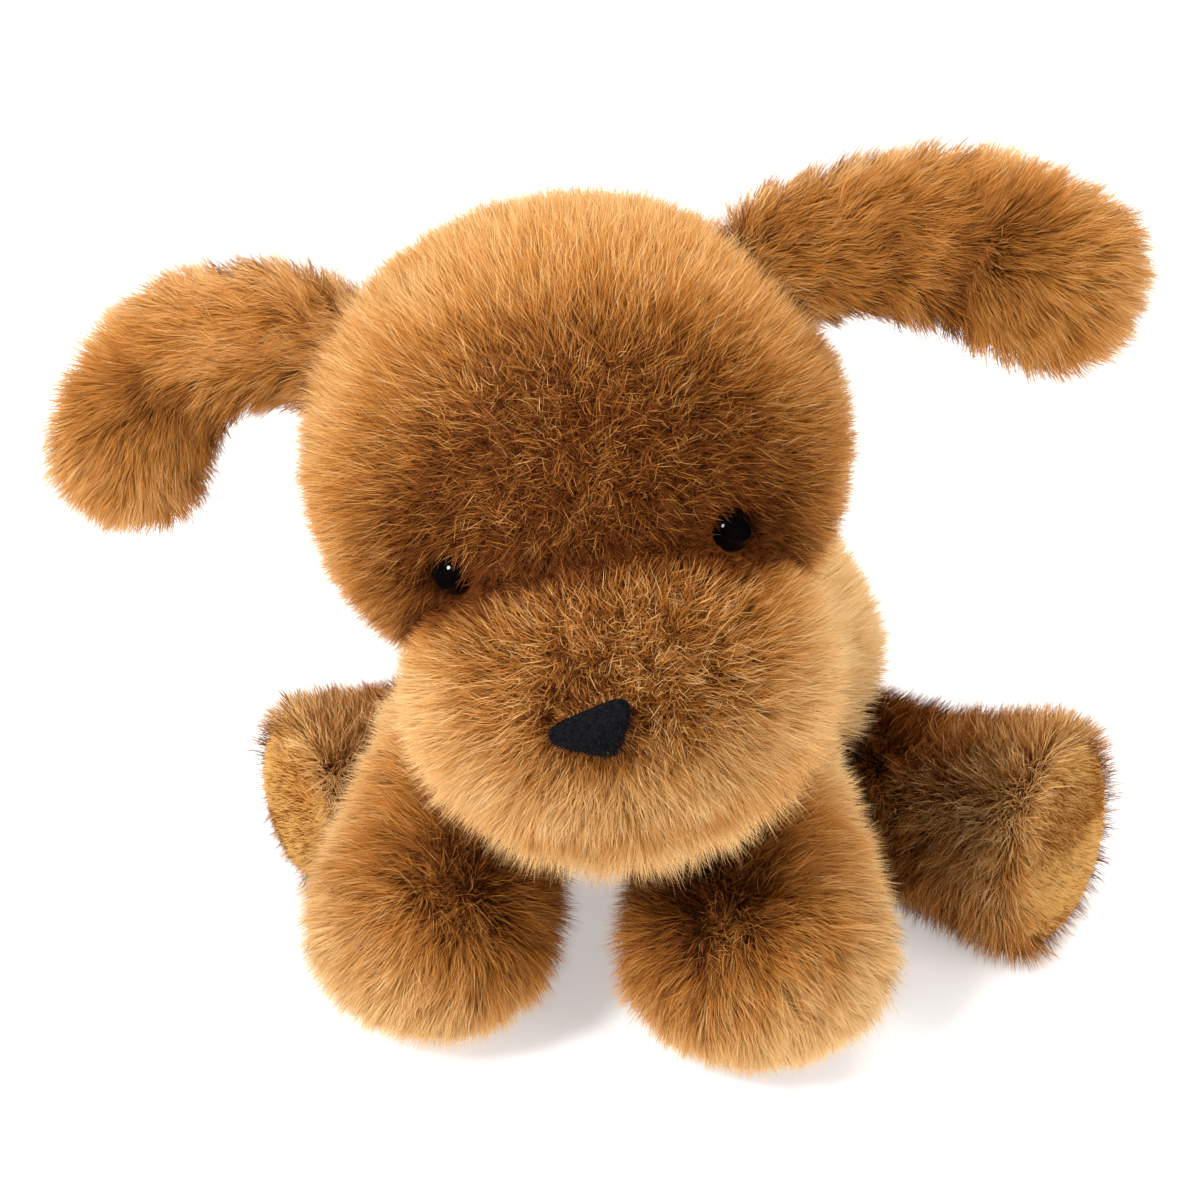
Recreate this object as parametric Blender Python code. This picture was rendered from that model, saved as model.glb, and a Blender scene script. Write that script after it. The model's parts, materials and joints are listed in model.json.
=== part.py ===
"""Long-pile plush puppy, sitting with its paws in front and its hind legs splayed, in metres with +Z up.

The puppy faces -Y and its own left is +X. The origin is on the floor under the middle of its box.
Every skin is a panel of fur cloth, SKIN thick with its dense underfur, sewn over a body of fibre fill.
Lengths below are in millimetres and are scaled to metres where a mesh is made.
"""

import math

import bmesh
import bpy
from mathutils import Matrix, Vector

MM = 0.001

# Driving dimensions.
SKIN = 5.0  # fur cloth with its dense underfur
GAP = 0.3  # between sewn neighbours
FILL_GAP = 1.5  # between a skin and its fill, which have different facets
JOINT_GAP = 2.2  # round a piece that swings, less the flats of the room cut for it
SKIN_FLAT, FILL_FLAT = 3.0, 4.0  # faces that turn less than these degrees are joined after a cut
FILL_JOINT_GAP = 4.5
HEAD_ROOM = 4.0  # between the skull and the shoulders, for its nod and turn
HEAD_HEIGHT = 140.0
HEAD_PLACE = Vector((-5.48, -14.17, HEAD_HEIGHT))
HEAD_YAW, HEAD_NOD, HEAD_ROLL = 3.7, 9.0, -9.5
SKULL = Vector((60.5, 57.0, 55.5))
MUZZLE_PLACE = Vector((3.0, -50.5, -22.5))
MUZZLE = Vector((47.0, 38.5, 40.0))
GUSSET_HALF = 15.0
EYE_RADIUS = 5.25
EYES = (("left", Vector((35.0, -45.5, 10.0))), ("right", Vector((-29.5, -47.5, 12.5))))
NOSE_WIDTH, NOSE_HEIGHT, NOSE_DEPTH = 18.5, 15.5, 7.0
NOSE_SIDE, NOSE_UP = -1.5, -3.5

# Rotation limits in degrees, used for the room that each swinging piece needs.
EAR_RANGE = (-25, 25)
FORELEG_RANGE = (-15, 2)
HIND_LEG_RANGES = {"hind_leg_left": (-2, 28), "hind_leg_right": (-28, 0)}
TAIL_RANGE = (-25, 25)
NOD_RANGE = (-15, 3)

COLOURS = {
    "fur": ((0.55, 0.27, 0.09), 0.9),
    "sole": ((0.58, 0.31, 0.08), 0.9),
    "fill": ((0.86, 0.85, 0.82), 0.95),
    "beans": ((0.62, 0.60, 0.56), 0.9),
    "eye": ((0.008, 0.007, 0.007), 0.08),
    "washer": ((0.82, 0.82, 0.80), 0.4),
    "nose": ((0.012, 0.011, 0.012), 0.95),
}


def clear_scene():
    for leftover in list(bpy.data.objects):
        bpy.data.objects.remove(leftover)


def material(kind):
    """The Principled material of one kind of cloth, fill or plastic."""
    if kind in bpy.data.materials:
        return bpy.data.materials[kind]
    colour, roughness = COLOURS[kind]
    made = bpy.data.materials.new(kind)
    made.use_nodes = True
    shader = made.node_tree.nodes["Principled BSDF"]
    shader.inputs["Base Color"].default_value = (*colour, 1.0)
    shader.inputs["Roughness"].default_value = roughness
    shader.inputs["Metallic"].default_value = 0.0
    return made


def frame_of(yaw, nod, roll):
    """Rotation that turns about Z, then tips about X, then rolls about Y."""
    return (
        Matrix.Rotation(math.radians(yaw), 4, "Z")
        @ Matrix.Rotation(math.radians(nod), 4, "X")
        @ Matrix.Rotation(math.radians(roll), 4, "Y")
    )


HEAD = Matrix.Translation(HEAD_PLACE) @ frame_of(HEAD_YAW, HEAD_NOD, HEAD_ROLL)


def on_head(side, forward, up):
    return HEAD @ Vector((side, -forward, up))


def about(pivot, axis, degrees):
    """Rotation by degrees about a line through pivot."""
    turn = Matrix.Rotation(math.radians(degrees), 4, axis)
    return Matrix.Translation(pivot) @ turn @ Matrix.Translation(-pivot)


# Rings: every soft shape is a run of ellipses, each (centre, first axis, second axis, two radii).


def smooth_through(points, share):
    """Catmull-Rom value through the points, from share 0 at the first to share 1 at the last."""
    last = len(points) - 1
    place = min(share * last, last - 1e-6)
    index = int(place)
    t = place - index
    before = points[max(index - 1, 0)]
    start = points[index]
    end = points[index + 1]
    after = points[min(index + 2, last)]
    return 0.5 * (
        2 * start
        + (end - before) * t
        + (2 * before - 5 * start + 4 * end - after) * t**2
        + (3 * start - before - 3 * end + after) * t**3
    )


def limb_rings(limb, grow=0.0, spans=4, cap_rings=3):
    """Rings along a bent, tapering limb with domed ends, its surface moved out by grow."""
    spine = limb["spine"]
    radii = [Vector(pair) for pair in limb["radii"]]
    middles = [smooth_through(spine, i / spans) for i in range(spans + 1)]
    sizes = [smooth_through(radii, i / spans) for i in range(spans + 1)]
    rings = []
    for i, middle in enumerate(middles):
        ahead = middles[min(i + 1, spans)] - middles[max(i - 1, 0)]
        if i == 0:
            ahead = limb.get("start_direction", ahead)
        if i == spans:
            ahead = limb.get("end_direction", ahead)
        ahead = ahead.normalized()
        first = ahead.cross(limb["across"]).normalized()
        rings.append((middle, first, first.cross(ahead), sizes[i] + Vector((grow, grow)), ahead))
    start_cap, end_cap = limb["caps"]
    steps = [math.pi / 2 * (i + 1) / (cap_rings + 1) for i in range(cap_rings)]
    steps.append(math.pi / 2 * 0.985)
    head = [domed(rings[0], -(start_cap + grow), step) for step in reversed(steps)]
    tail = [domed(rings[-1], end_cap + grow, step) for step in steps]
    return head + rings + tail


def domed(ring, reach, step):
    middle, first, second, size, ahead = ring
    return (middle + ahead * reach * math.sin(step), first, second, size * math.cos(step), ahead)


def ellipsoid_rings(place, radii, grow=0.0, count=11, edge=None, poles=(True, True)):
    """Rings of an ellipsoid on the head, square to the head's side axis, from -X to +X.

    edge is a pair of side distances that the rings start and end at, in place of the poles.
    """
    size = radii + Vector((grow, grow, grow))
    limits = [-math.pi / 2 * 0.985, math.pi / 2 * 0.985]
    for i in (0, 1):
        if edge is not None and not poles[i]:
            limits[i] = math.asin(max(-1.0, min(1.0, edge[i] / size.x)))
    rings = []
    for i in range(count):
        angle = limits[0] + (limits[1] - limits[0]) * i / (count - 1)
        middle = place + Vector((size.x * math.sin(angle), 0, 0))
        flat = Vector((size.y, size.z)) * math.cos(angle)
        axes = HEAD.to_3x3()
        ahead = axes @ Vector((1, 0, 0))
        first = axes @ Vector((0, 1, 0))
        rings.append((HEAD @ middle, first, axes @ Vector((0, 0, 1)), flat, ahead))
    return rings


def grid_of(rings, start=0.0, end=360.0, spans=14):
    """Points round each ring, from start to end degrees."""
    whole = abs(end - start) >= 360
    count = spans if whole else spans + 1
    grid = []
    for middle, first, second, size, _ in rings:
        row = []
        for i in range(count):
            angle = math.radians(start + (end - start) * i / spans)
            row.append(middle + first * size[0] * math.cos(angle) + second * size[1] * math.sin(angle))
        grid.append(row)
    return grid


def add_grid(mesh, grid, around):
    """Adds the grid's faces and returns its vertices, row by row."""
    rows = [[mesh.verts.new(point * MM) for point in row] for row in grid]
    for low, high in zip(rows, rows[1:]):
        count = len(low)
        for i in range(count if around else count - 1):
            j = (i + 1) % count
            mesh.faces.new((low[i], low[j], high[j], high[i]))
    return rows


def bridge(mesh, first, second, around):
    count = len(first)
    for i in range(count if around else count - 1):
        j = (i + 1) % count
        mesh.faces.new((first[i], first[j], second[j], second[i]))


def finish(mesh, name, kind):
    """Turns the bmesh into a named object with its material."""
    bmesh.ops.recalc_face_normals(mesh, faces=mesh.faces)
    bmesh.ops.triangulate(mesh, faces=mesh.faces)
    data = bpy.data.meshes.new(name)
    mesh.to_mesh(data)
    mesh.free()
    data.materials.append(material(kind))
    data.shade_smooth()
    made = bpy.data.objects.new(name, data)
    bpy.context.scene.collection.objects.link(made)
    return made


def closed_body(name, kind, rings, spans=14):
    """A solid through whole rings, closed by a flat at each end."""
    mesh = bmesh.new()
    rows = add_grid(mesh, grid_of(rings, spans=spans), True)
    mesh.faces.new(rows[0])
    mesh.faces.new(rows[-1])
    return finish(mesh, name, kind)


def skin_panel(name, kind, outer, inner, start=0.0, end=360.0, spans=7, closed_end=None):
    """Fur cloth between two runs of rings: part of the way round, a whole hoop, or a bowl.

    closed_end is the row, 0 or -1, where a bowl closes.
    """
    around = abs(end - start) >= 360
    mesh = bmesh.new()
    out_rows = add_grid(mesh, grid_of(outer, start, end, spans), around)
    in_rows = add_grid(mesh, grid_of(inner, start, end, spans), around)
    for row in (0, -1):
        if closed_end == row:
            mesh.faces.new(out_rows[row])
            mesh.faces.new(in_rows[row])
        else:
            bridge(mesh, out_rows[row], in_rows[row], around)
    if not around:
        for side in (0, -1):
            bridge(mesh, [row[side] for row in out_rows], [row[side] for row in in_rows], False)
    return finish(mesh, name, kind)


def box_body(name, low, high):
    """A plain box between two corners."""
    mesh = bmesh.new()
    bmesh.ops.create_cube(mesh, size=1.0)
    for vertex in mesh.verts:
        share = vertex.co + Vector((0.5, 0.5, 0.5))
        vertex.co = Vector([low[i] + (high[i] - low[i]) * share[i] for i in range(3)]) * MM
    return finish(mesh, name, "fill")


def turned(name, kind, place, direction, profile, spans=20):
    """A solid of revolution: profile is (radius, height) pairs along direction from place."""
    direction = direction.normalized()
    first = direction.orthogonal().normalized()
    second = direction.cross(first)
    rings = [(place + direction * z, first, second, (r, r), direction) for r, z in profile]
    return closed_body(name, kind, rings, spans)


# Booleans. A cutter is hidden, and goes once every cut has been settled.


def as_cutter(made):
    made.hide_render = True
    made.display_type = "WIRE"
    return made


def cut(target, cutter, operation="DIFFERENCE"):
    modifier = target.modifiers.new(operation.title(), "BOOLEAN")
    modifier.operation = operation
    modifier.solver = "MANIFOLD"
    modifier.object = cutter


def tidy_cut(data, flat_degrees):
    """Drops the slivers that a cut leaves beside the piece itself, and joins its flat neighbours."""
    mesh = bmesh.new()
    mesh.from_mesh(data)
    left = set(mesh.verts)
    islands = []
    while left:
        queue = [left.pop()]
        island = set(queue)
        while queue:
            for edge in queue.pop().link_edges:
                for vertex in edge.verts:
                    if vertex in left:
                        left.discard(vertex)
                        island.add(vertex)
                        queue.append(vertex)
        islands.append(island)
    islands.sort(key=len, reverse=True)
    for island in islands[1:]:
        bmesh.ops.delete(mesh, geom=list(island), context="VERTS")
    flat = math.radians(flat_degrees)
    bmesh.ops.dissolve_limit(mesh, angle_limit=flat, verts=mesh.verts, edges=mesh.edges)
    bmesh.ops.triangulate(mesh, faces=mesh.faces)
    mesh.to_mesh(data)
    mesh.free()


def settle_cuts():
    """Applies every Boolean and removes the cutters."""
    graph = bpy.context.evaluated_depsgraph_get()
    cut_pieces = [made for made in bpy.data.objects if made.modifiers]
    results = [(made, bpy.data.meshes.new_from_object(made.evaluated_get(graph))) for made in cut_pieces]
    for made, data in results:
        made.modifiers.clear()
        made.data = data
        tidy_cut(data, FILL_FLAT if made.name.endswith("stuffing") else SKIN_FLAT)
        data.name = made.name
    for made in list(bpy.data.objects):
        if made.hide_render:
            bpy.data.objects.remove(made)


def make_room(limb, skins, fills, limits):
    """Cuts the path that a limb swings through out of the skins and fills beside it."""
    low, high = limits
    cut_path(limb, skins, (low, (low + high) / 2, high), JOINT_GAP, 12)
    cut_path(limb, fills, (low, high), FILL_JOINT_GAP, 8)


def cut_path(limb, targets, angles, room, sides):
    for degrees in angles:
        cutter = closed_body("room", "fill", limb_rings(limb, room, 3, 2), sides)
        cutter.data.transform(about(limb["pivot"] * MM, limb["axis"], degrees))
        as_cutter(cutter)
        for target in targets:
            cut(target, cutter)


# The limbs: their spines, radii (across, along their second axis) and hinges.

UP = Vector((0, 0, 1))


def head_relative(x, y, z):
    """A point given from the middle of the head, with z from the floor."""
    return Vector((HEAD_PLACE.x + x, HEAD_PLACE.y + y, z))


TORSO = {
    "spine": [head_relative(6, 10, 60), head_relative(17.5, 28, 50), head_relative(27.5, 50, 43)],
    "radii": [(40, 36), (49, 43), (50, 45)],
    "caps": (24.0, 36.0),
    "across": UP,
}
FORELEGS = {
    "foreleg_right": {
        "spine": [head_relative(-25, 0, 58), head_relative(-30, -16, 40), head_relative(-34.5, -37, 26)],
        "radii": [(21, 20), (25, 24), (29.5, 28)],
        "caps": (16.0, 28.0),
        "across": UP,
        "end_direction": Vector((-0.30, -0.85, -0.35)),
        "sole_direction": Vector((-0.30, -0.22, -0.93)),
        "sole_depth": 16.0,
        "halves": {"outer": -90, "inner": 90},
    },
    "foreleg_left": {
        "spine": [head_relative(38, -4, 58), head_relative(42, -23, 40), head_relative(43, -46, 26)],
        "radii": [(22, 20), (26, 25), (32, 29)],
        "caps": (16.0, 28.0),
        "across": UP,
        "end_direction": Vector((0.08, -0.92, -0.35)),
        "sole_direction": Vector((0.05, 0.05, -1.0)),
        "sole_depth": 17.5,
        "halves": {"inner": -90, "outer": 90},
    },
}
HIND_LEGS = {
    "hind_leg_right": {
        "spine": [head_relative(-14, 45, 22), head_relative(-42, 30, 21), head_relative(-67, 15, 22.5)],
        "radii": [(20, 17), (22, 18.5), (25.5, 24.5)],
        "caps": (16.0, 11.0),
        "across": UP,
        "end_direction": Vector((-0.90, -0.42, 0.05)),
        "halves": {"rear": -90, "front": 90},
    },
    "hind_leg_left": {
        "spine": [head_relative(60, 33, 23), head_relative(88, 12, 23), head_relative(116, -7, 28.5)],
        "radii": [(21, 18), (24, 21.5), (28.5, 31)],
        "caps": (16.0, 11.0),
        "across": UP,
        "end_direction": Vector((0.86, -0.50, 0.08)),
        "halves": {"front": -90, "rear": 90},
    },
}
EARS = {
    "ear_right": {
        "spine": [
            head_relative(-53, 20, 153),
            head_relative(-77, 19, 161),
            head_relative(-96, 15, 149),
            head_relative(-105, 9, 131),
        ],
        "radii": [(16, 9), (17, 10), (17.5, 10.5), (18, 11)],
        "caps": (9.0, 13.0),
        "across": Vector((0, -0.8, 0.6)),
        "halves": {"front": 0, "back": 180},
    },
    "ear_left": {
        "spine": [
            head_relative(42, 20, 178),
            head_relative(68, 19, 186),
            head_relative(91, 16, 186),
            head_relative(112, 12, 177),
        ],
        "radii": [(16, 9), (18, 10), (20.5, 10.5), (20.5, 11)],
        "caps": (9.0, 14.0),
        "across": Vector((0, -0.8, 0.6)),
        "halves": {"front": 0, "back": 180},
    },
}
TAIL = {
    "spine": [head_relative(37, 84, 44), head_relative(42, 98, 50), head_relative(46, 108, 60)],
    "radii": [(9, 9), (9, 9), (8, 8)],
    "caps": (8.0, 9.0),
    "across": UP,
    "halves": {"left": -90, "right": 90},
}
NECK_PLACE = head_relative(3, 13, 93)


def set_hinges():
    """Gives each limb the pivot and axis that it swings on."""
    for limb in list(FORELEGS.values()):
        limb["pivot"] = limb["spine"][0]
        limb["axis"] = Vector((1, 0, 0))
    for limb in list(HIND_LEGS.values()) + [TAIL]:
        limb["pivot"] = limb["spine"][0]
        limb["axis"] = UP
    for limb in EARS.values():
        limb["pivot"] = limb["spine"][0]
        limb["axis"] = HEAD.to_3x3() @ Vector((0, 1, 0))


def limb_pieces(name, limb, sole_rows, spans=6):
    """Two sewn halves over a fill, and a sole: the last rings, or all below a plane.

    The limb's halves name each half and the angle that it starts at.
    """
    outer = limb_rings(limb)
    inner = limb_rings(limb, -SKIN)
    below = limb.get("sole_direction")
    keep = len(outer) - sole_rows
    seam = math.degrees(GAP / 2 / 20.0) * 1.2
    halves = []
    for half, start in limb["halves"].items():
        label = f"{name}_{half}_panel"
        ends = (start + seam, start + 180 - seam)
        halves.append(skin_panel(label, "fur", outer[:keep], inner[:keep], *ends, spans))
    fill = closed_body(f"{name}_stuffing", "fill", limb_rings(limb, -SKIN - FILL_GAP), spans * 2)
    made = halves + [fill]
    if below is not None:
        sole = closed_body(f"{name}_sole", "sole", outer, spans * 2)
        cut(sole, as_cutter(closed_body("room", "fill", inner, spans * 2)))
        place = limb["spine"][-1] + below.normalized() * limb["sole_depth"]
        turn = below.to_track_quat("Z", "Y").to_matrix().to_4x4()
        under = box_body("room", (-90, -90, -GAP / 2), (90, 90, 90))
        over = box_body("room", (-90, -90, -90), (90, 90, GAP / 2))
        for cutter in (under, over):
            cutter.data.transform(Matrix.Translation(place * MM) @ turn)
            as_cutter(cutter)
        for half in halves:
            cut(half, under)
        cut(sole, over)
        made.append(sole)
    elif sole_rows:
        shift = limb["end_direction"].normalized() * GAP
        start = keep - 1
        moved = [[(r[0] + shift, *r[1:]) for r in run[start:]] for run in (outer, inner)]
        made.append(skin_panel(f"{name}_sole", "sole", *moved, 0, 360, spans * 2, closed_end=-1))
    return made


def build_torso():
    outer = limb_rings(TORSO, 0.0, 5, 3)
    inner = limb_rings(TORSO, -SKIN, 5, 3)
    seam = 0.4
    panels = [
        skin_panel("torso_left_panel", "fur", outer, inner, -50 + seam, 90 - seam, 9),
        skin_panel("torso_right_panel", "fur", outer, inner, 90 + seam, 230 - seam, 9),
        skin_panel("torso_belly_panel", "fur", outer, inner, 230 + seam, 310 - seam, 6),
    ]
    fill = closed_body("torso_stuffing", "fill", limb_rings(TORSO, -SKIN - FILL_GAP, 4, 3), 16)
    pouch_place = head_relative(22, 50, 9.0)
    pouch_profile = [(0.6, 0), (11, 0.8), (14, 4), (15, 7), (12, 12), (5, 15), (0.6, 15.5)]
    pouch = turned("bean_pouch", "beans", pouch_place, UP, pouch_profile, 16)
    room = as_cutter(turned("room", "fill", pouch_place - UP * GAP, UP, grown(pouch_profile, GAP), 16))
    cut(fill, room)
    mouth = as_cutter(turned("room", "fill", pouch_place - UP * 9, UP, [(4, 0), (4, 12)], 12))
    cut(fill, mouth)
    return panels, fill, pouch


def grown(profile, gap):
    """The same turned profile with room all round it."""
    low = profile[0][1]
    high = profile[-1][1]
    out = []
    for radius, height in profile:
        share = (height - low) / (high - low)
        out.append((radius + gap, height + 2 * gap * share))
    return out


def build_head():
    cloth = {}
    for name, edge, poles, closed_end in (
        ("head_right_panel", (0, -GUSSET_HALF - GAP / 2), (True, False), 0),
        ("head_left_panel", (GUSSET_HALF + GAP / 2, 0), (False, True), -1),
        ("head_gusset", (-GUSSET_HALF + GAP / 2, GUSSET_HALF - GAP / 2), (False, False), None),
    ):
        count = 3 if name == "head_gusset" else 7
        outer = ellipsoid_rings(Vector(), SKULL, 0, count, edge, poles)
        inner = ellipsoid_rings(Vector(), SKULL, -SKIN, count, edge, poles)
        cloth[name] = skin_panel(name, "fur", outer, inner, 0, 360, 22, closed_end)
    for name, edge, poles, closed_end in (
        ("muzzle_right_panel", (0, -GAP / 2), (True, False), 0),
        ("muzzle_left_panel", (GAP / 2, 0), (False, True), -1),
    ):
        outer = ellipsoid_rings(MUZZLE_PLACE, MUZZLE, 0, 6, edge, poles)
        inner = ellipsoid_rings(MUZZLE_PLACE, MUZZLE, -SKIN, 6, edge, poles)
        cloth[name] = skin_panel(name, "fur", outer, inner, 0, 360, 18, closed_end)
    outer = ellipsoid_rings(MUZZLE_PLACE, MUZZLE, 0, 11)
    chin = closed_body("chin_panel", "fur", outer, 18)
    cut(chin, as_cutter(closed_body("room", "fill", ellipsoid_rings(MUZZLE_PLACE, MUZZLE, -SKIN, 11), 18)))
    cloth["chin_panel"] = chin
    fill = closed_body("head_stuffing", "fill", ellipsoid_rings(Vector(), SKULL, -SKIN - FILL_GAP, 11), 18)
    nose_fill = closed_body("room", "fill", ellipsoid_rings(MUZZLE_PLACE, MUZZLE, -SKIN - FILL_GAP, 9), 14)
    cut(fill, as_cutter(nose_fill), "UNION")

    skull_room = as_cutter(closed_body("room", "fill", ellipsoid_rings(Vector(), SKULL, GAP, 13), 22))
    muzzle_room = as_cutter(closed_body("room", "fill", ellipsoid_rings(MUZZLE_PLACE, MUZZLE, GAP, 11), 18))
    for name in ("muzzle_right_panel", "muzzle_left_panel", "chin_panel"):
        cut(cloth[name], skull_room)
    for name in ("head_right_panel", "head_left_panel", "head_gusset"):
        cut(cloth[name], muzzle_room)

    # The chin is below a plane that rises towards the front of the muzzle.
    jaw = Matrix.Translation(HEAD @ Vector((0, -50, -40)) * MM) @ HEAD.to_3x3().to_4x4()
    jaw = jaw @ Matrix.Rotation(math.radians(-12), 4, "X")
    below = box_body("room", (-90, -90, -90), (90, 90, GAP / 2))
    above = box_body("room", (-90, -90, -GAP / 2), (90, 90, 90))
    for cutter in (below, above):
        cutter.data.transform(jaw)
        as_cutter(cutter)
    cut(chin, above)
    for name in ("muzzle_right_panel", "muzzle_left_panel"):
        cut(cloth[name], below)
    return cloth, fill


def build_eyes(cloth, fill):
    """Domed eyes on a shank, each locked by a washer inside the head."""
    made = []
    for name, outward in EYES:
        normal = Vector([outward[i] / SKULL[i] ** 2 for i in range(3)]).normalized()
        place = HEAD @ (outward - normal * 4.0)
        normal = HEAD.to_3x3() @ normal
        dome = [(math.cos(a) * EYE_RADIUS, math.sin(a) * EYE_RADIUS) for a in arc(0, 84, 5)]
        shank = [(0.4, -14.0), (1.7, -13.4), (1.7, -2.4), (EYE_RADIUS - 0.8, -1.4)]
        eye = turned(f"eye_{name}", "eye", place, normal, shank + dome, 16)
        socket_profile = [(EYE_RADIUS + GAP, -2.6), (EYE_RADIUS + GAP, 12)]
        socket = as_cutter(turned("room", "fill", place, normal, socket_profile, 20))
        shank_profile = [(2.0, -15.5), (2.0, -2.0)]
        shank_room = as_cutter(turned("room", "fill", place, normal, shank_profile, 12))
        washer_profile = [(2.05, -8.6), (8.0, -8.6), (8.0, -7.2), (2.05, -7.2)]
        washer = ring_body(f"eye_washer_{name}", "washer", place, normal, washer_profile, 20)
        washer_room_profile = [(8.4, -9.0), (8.4, -6.8)]
        washer_room = as_cutter(turned("room", "fill", place, normal, washer_room_profile, 20))
        for cutter in (socket, shank_room):
            cut(cloth[f"head_{name}_panel"], cutter)
            cut(cloth[f"muzzle_{name}_panel"], cutter)
        for cutter in (socket, shank_room, washer_room):
            cut(fill, cutter)
        made += [eye, washer]
    return made


def ring_body(name, kind, place, direction, profile, spans):
    """A flat washer: a closed profile carried round its axis."""
    direction = direction.normalized()
    first = direction.orthogonal().normalized()
    second = direction.cross(first)
    rings = [(place + direction * z, first, second, (r, r), direction) for r, z in profile]
    mesh = bmesh.new()
    rows = add_grid(mesh, grid_of(rings, spans=spans), True)
    bridge(mesh, rows[-1], rows[0], True)
    return finish(mesh, name, kind)


def arc(start, end, count):
    return [math.radians(start + (end - start) * i / (count - 1)) for i in range(count)]


def nose_outline(grow, spans=24):
    """A rounded triangle, point down, round the middle of the nose."""
    points = []
    for i in range(spans):
        angle = 2 * math.pi * i / spans
        pull = 1.0 + 0.16 * math.cos(3 * (angle + math.pi / 2))
        half_width = NOSE_WIDTH / 2 / 1.02 + grow
        half_height = NOSE_HEIGHT / 2 / 1.02 + grow
        points.append((math.cos(angle) * half_width * pull, math.sin(angle) * half_height * pull))
    return points


def nose_body(name, kind, grow, steps):
    """A pad through scaled outlines: steps are (share of the outline, forward distance)."""
    mesh = bmesh.new()
    grid = []
    for share, forward in steps:
        outline = [(NOSE_SIDE + x * share, NOSE_UP + z * share) for x, z in nose_outline(grow)]
        grid.append([on_head(x, forward, z) for x, z in outline])
    rows = add_grid(mesh, grid, True)
    mesh.faces.new(rows[0])
    mesh.faces.new(rows[-1])
    return finish(mesh, name, kind)


def build_nose(cloth, fill):
    front = 50.0 + MUZZLE.y + 0.7
    back = front - NOSE_DEPTH
    steps = [(0.90, back), (1.0, back + 1.5), (1.0, front - 2.6), (0.86, front - 1.0), (0.5, front)]
    nose = nose_body("nose", "nose", 0.0, steps)
    room = as_cutter(nose_body("room", "fill", GAP, [(1.0, back - GAP), (1.0, front + 12)]))
    for name in ("muzzle_right_panel", "muzzle_left_panel", "chin_panel"):
        cut(cloth[name], room)
    cut(fill, room)
    return nose


def build_neck():
    """A short plug of fill that joins the head's fill to the torso's, and the room that it nods in."""
    profile = [(14.0, -13.0), (17.0, -10.5), (17.5, -4.0), (17.0, 3.0), (13.5, 6.0)]
    plug = turned("neck_stuffing", "fill", NECK_PLACE, UP, profile, 16)
    room_profile = [(17.0, -15.0), (21.0, -12.0), (21.5, 7.0), (18.0, 10.5)]
    return plug, as_cutter(turned("room", "fill", NECK_PLACE, UP, room_profile, 16))


def main():
    clear_scene()
    set_hinges()
    torso_panels, torso_fill, pouch = build_torso()
    cloth, head_fill = build_head()
    build_eyes(cloth, head_fill)
    build_nose(cloth, head_fill)

    standing = []
    for name, limb in FORELEGS.items():
        pieces = limb_pieces(name, limb, 0)
        standing += pieces
        make_room(limb, torso_panels, [torso_fill], FORELEG_RANGE)
    for name, limb in HIND_LEGS.items():
        pieces = limb_pieces(name, limb, 3)
        standing += pieces
        make_room(limb, torso_panels, [torso_fill], HIND_LEG_RANGES[name])
    for name, limb in EARS.items():
        limb_pieces(name, limb, 0)
        skins = [cloth["head_left_panel"], cloth["head_right_panel"], cloth["head_gusset"]]
        make_room(limb, skins, [head_fill], EAR_RANGE)
    limb_pieces("tail", TAIL, 0, 5)
    make_room(TAIL, torso_panels, [torso_fill], TAIL_RANGE)

    plug, room = build_neck()
    for target in list(cloth.values()) + [head_fill] + torso_panels + [torso_fill]:
        cut(target, room)
    for nod in (NOD_RANGE[0], sum(NOD_RANGE) / 2, NOD_RANGE[1]):
        skull = closed_body("room", "fill", ellipsoid_rings(Vector(), SKULL, HEAD_ROOM, 9), 18)
        skull.data.transform(about(NECK_PLACE * MM, Vector((1, 0, 0)), nod))
        as_cutter(skull)
        for target in torso_panels + [torso_fill]:
            cut(target, skull)

    floor = as_cutter(box_body("room", (-400, -400, -100), (400, 400, 0)))
    fill_floor = as_cutter(box_body("room", (-400, -400, -100), (400, 400, SKIN + 1.0)))
    for piece in standing + torso_panels + [torso_fill, pouch]:
        is_fill = piece.name.endswith("stuffing")
        cut(piece, fill_floor if is_fill else floor)
    settle_cuts()


main()
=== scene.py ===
import json
import math

import bmesh
import bpy
import numpy as np
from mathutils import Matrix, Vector
from mathutils.bvhtree import BVHTree
from mathutils.kdtree import KDTree


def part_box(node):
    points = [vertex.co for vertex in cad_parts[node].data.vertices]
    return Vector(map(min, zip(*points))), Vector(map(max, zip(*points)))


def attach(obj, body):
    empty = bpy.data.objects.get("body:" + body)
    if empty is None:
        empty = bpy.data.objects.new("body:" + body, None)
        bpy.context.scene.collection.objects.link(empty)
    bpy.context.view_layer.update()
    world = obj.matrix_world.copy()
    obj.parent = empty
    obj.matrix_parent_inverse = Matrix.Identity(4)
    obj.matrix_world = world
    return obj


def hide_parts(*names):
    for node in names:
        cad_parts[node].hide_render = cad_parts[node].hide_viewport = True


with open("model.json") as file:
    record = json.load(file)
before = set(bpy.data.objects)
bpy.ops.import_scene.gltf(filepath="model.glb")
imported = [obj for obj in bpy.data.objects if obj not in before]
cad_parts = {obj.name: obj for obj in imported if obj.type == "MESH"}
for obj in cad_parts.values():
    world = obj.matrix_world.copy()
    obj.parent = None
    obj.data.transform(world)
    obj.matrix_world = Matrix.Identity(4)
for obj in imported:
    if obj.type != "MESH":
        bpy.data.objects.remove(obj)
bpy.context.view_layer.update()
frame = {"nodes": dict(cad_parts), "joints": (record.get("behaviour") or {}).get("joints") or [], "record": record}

# Lengths below are millimetres unless a name says otherwise. The frame is in metres.
MM = 0.001

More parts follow.
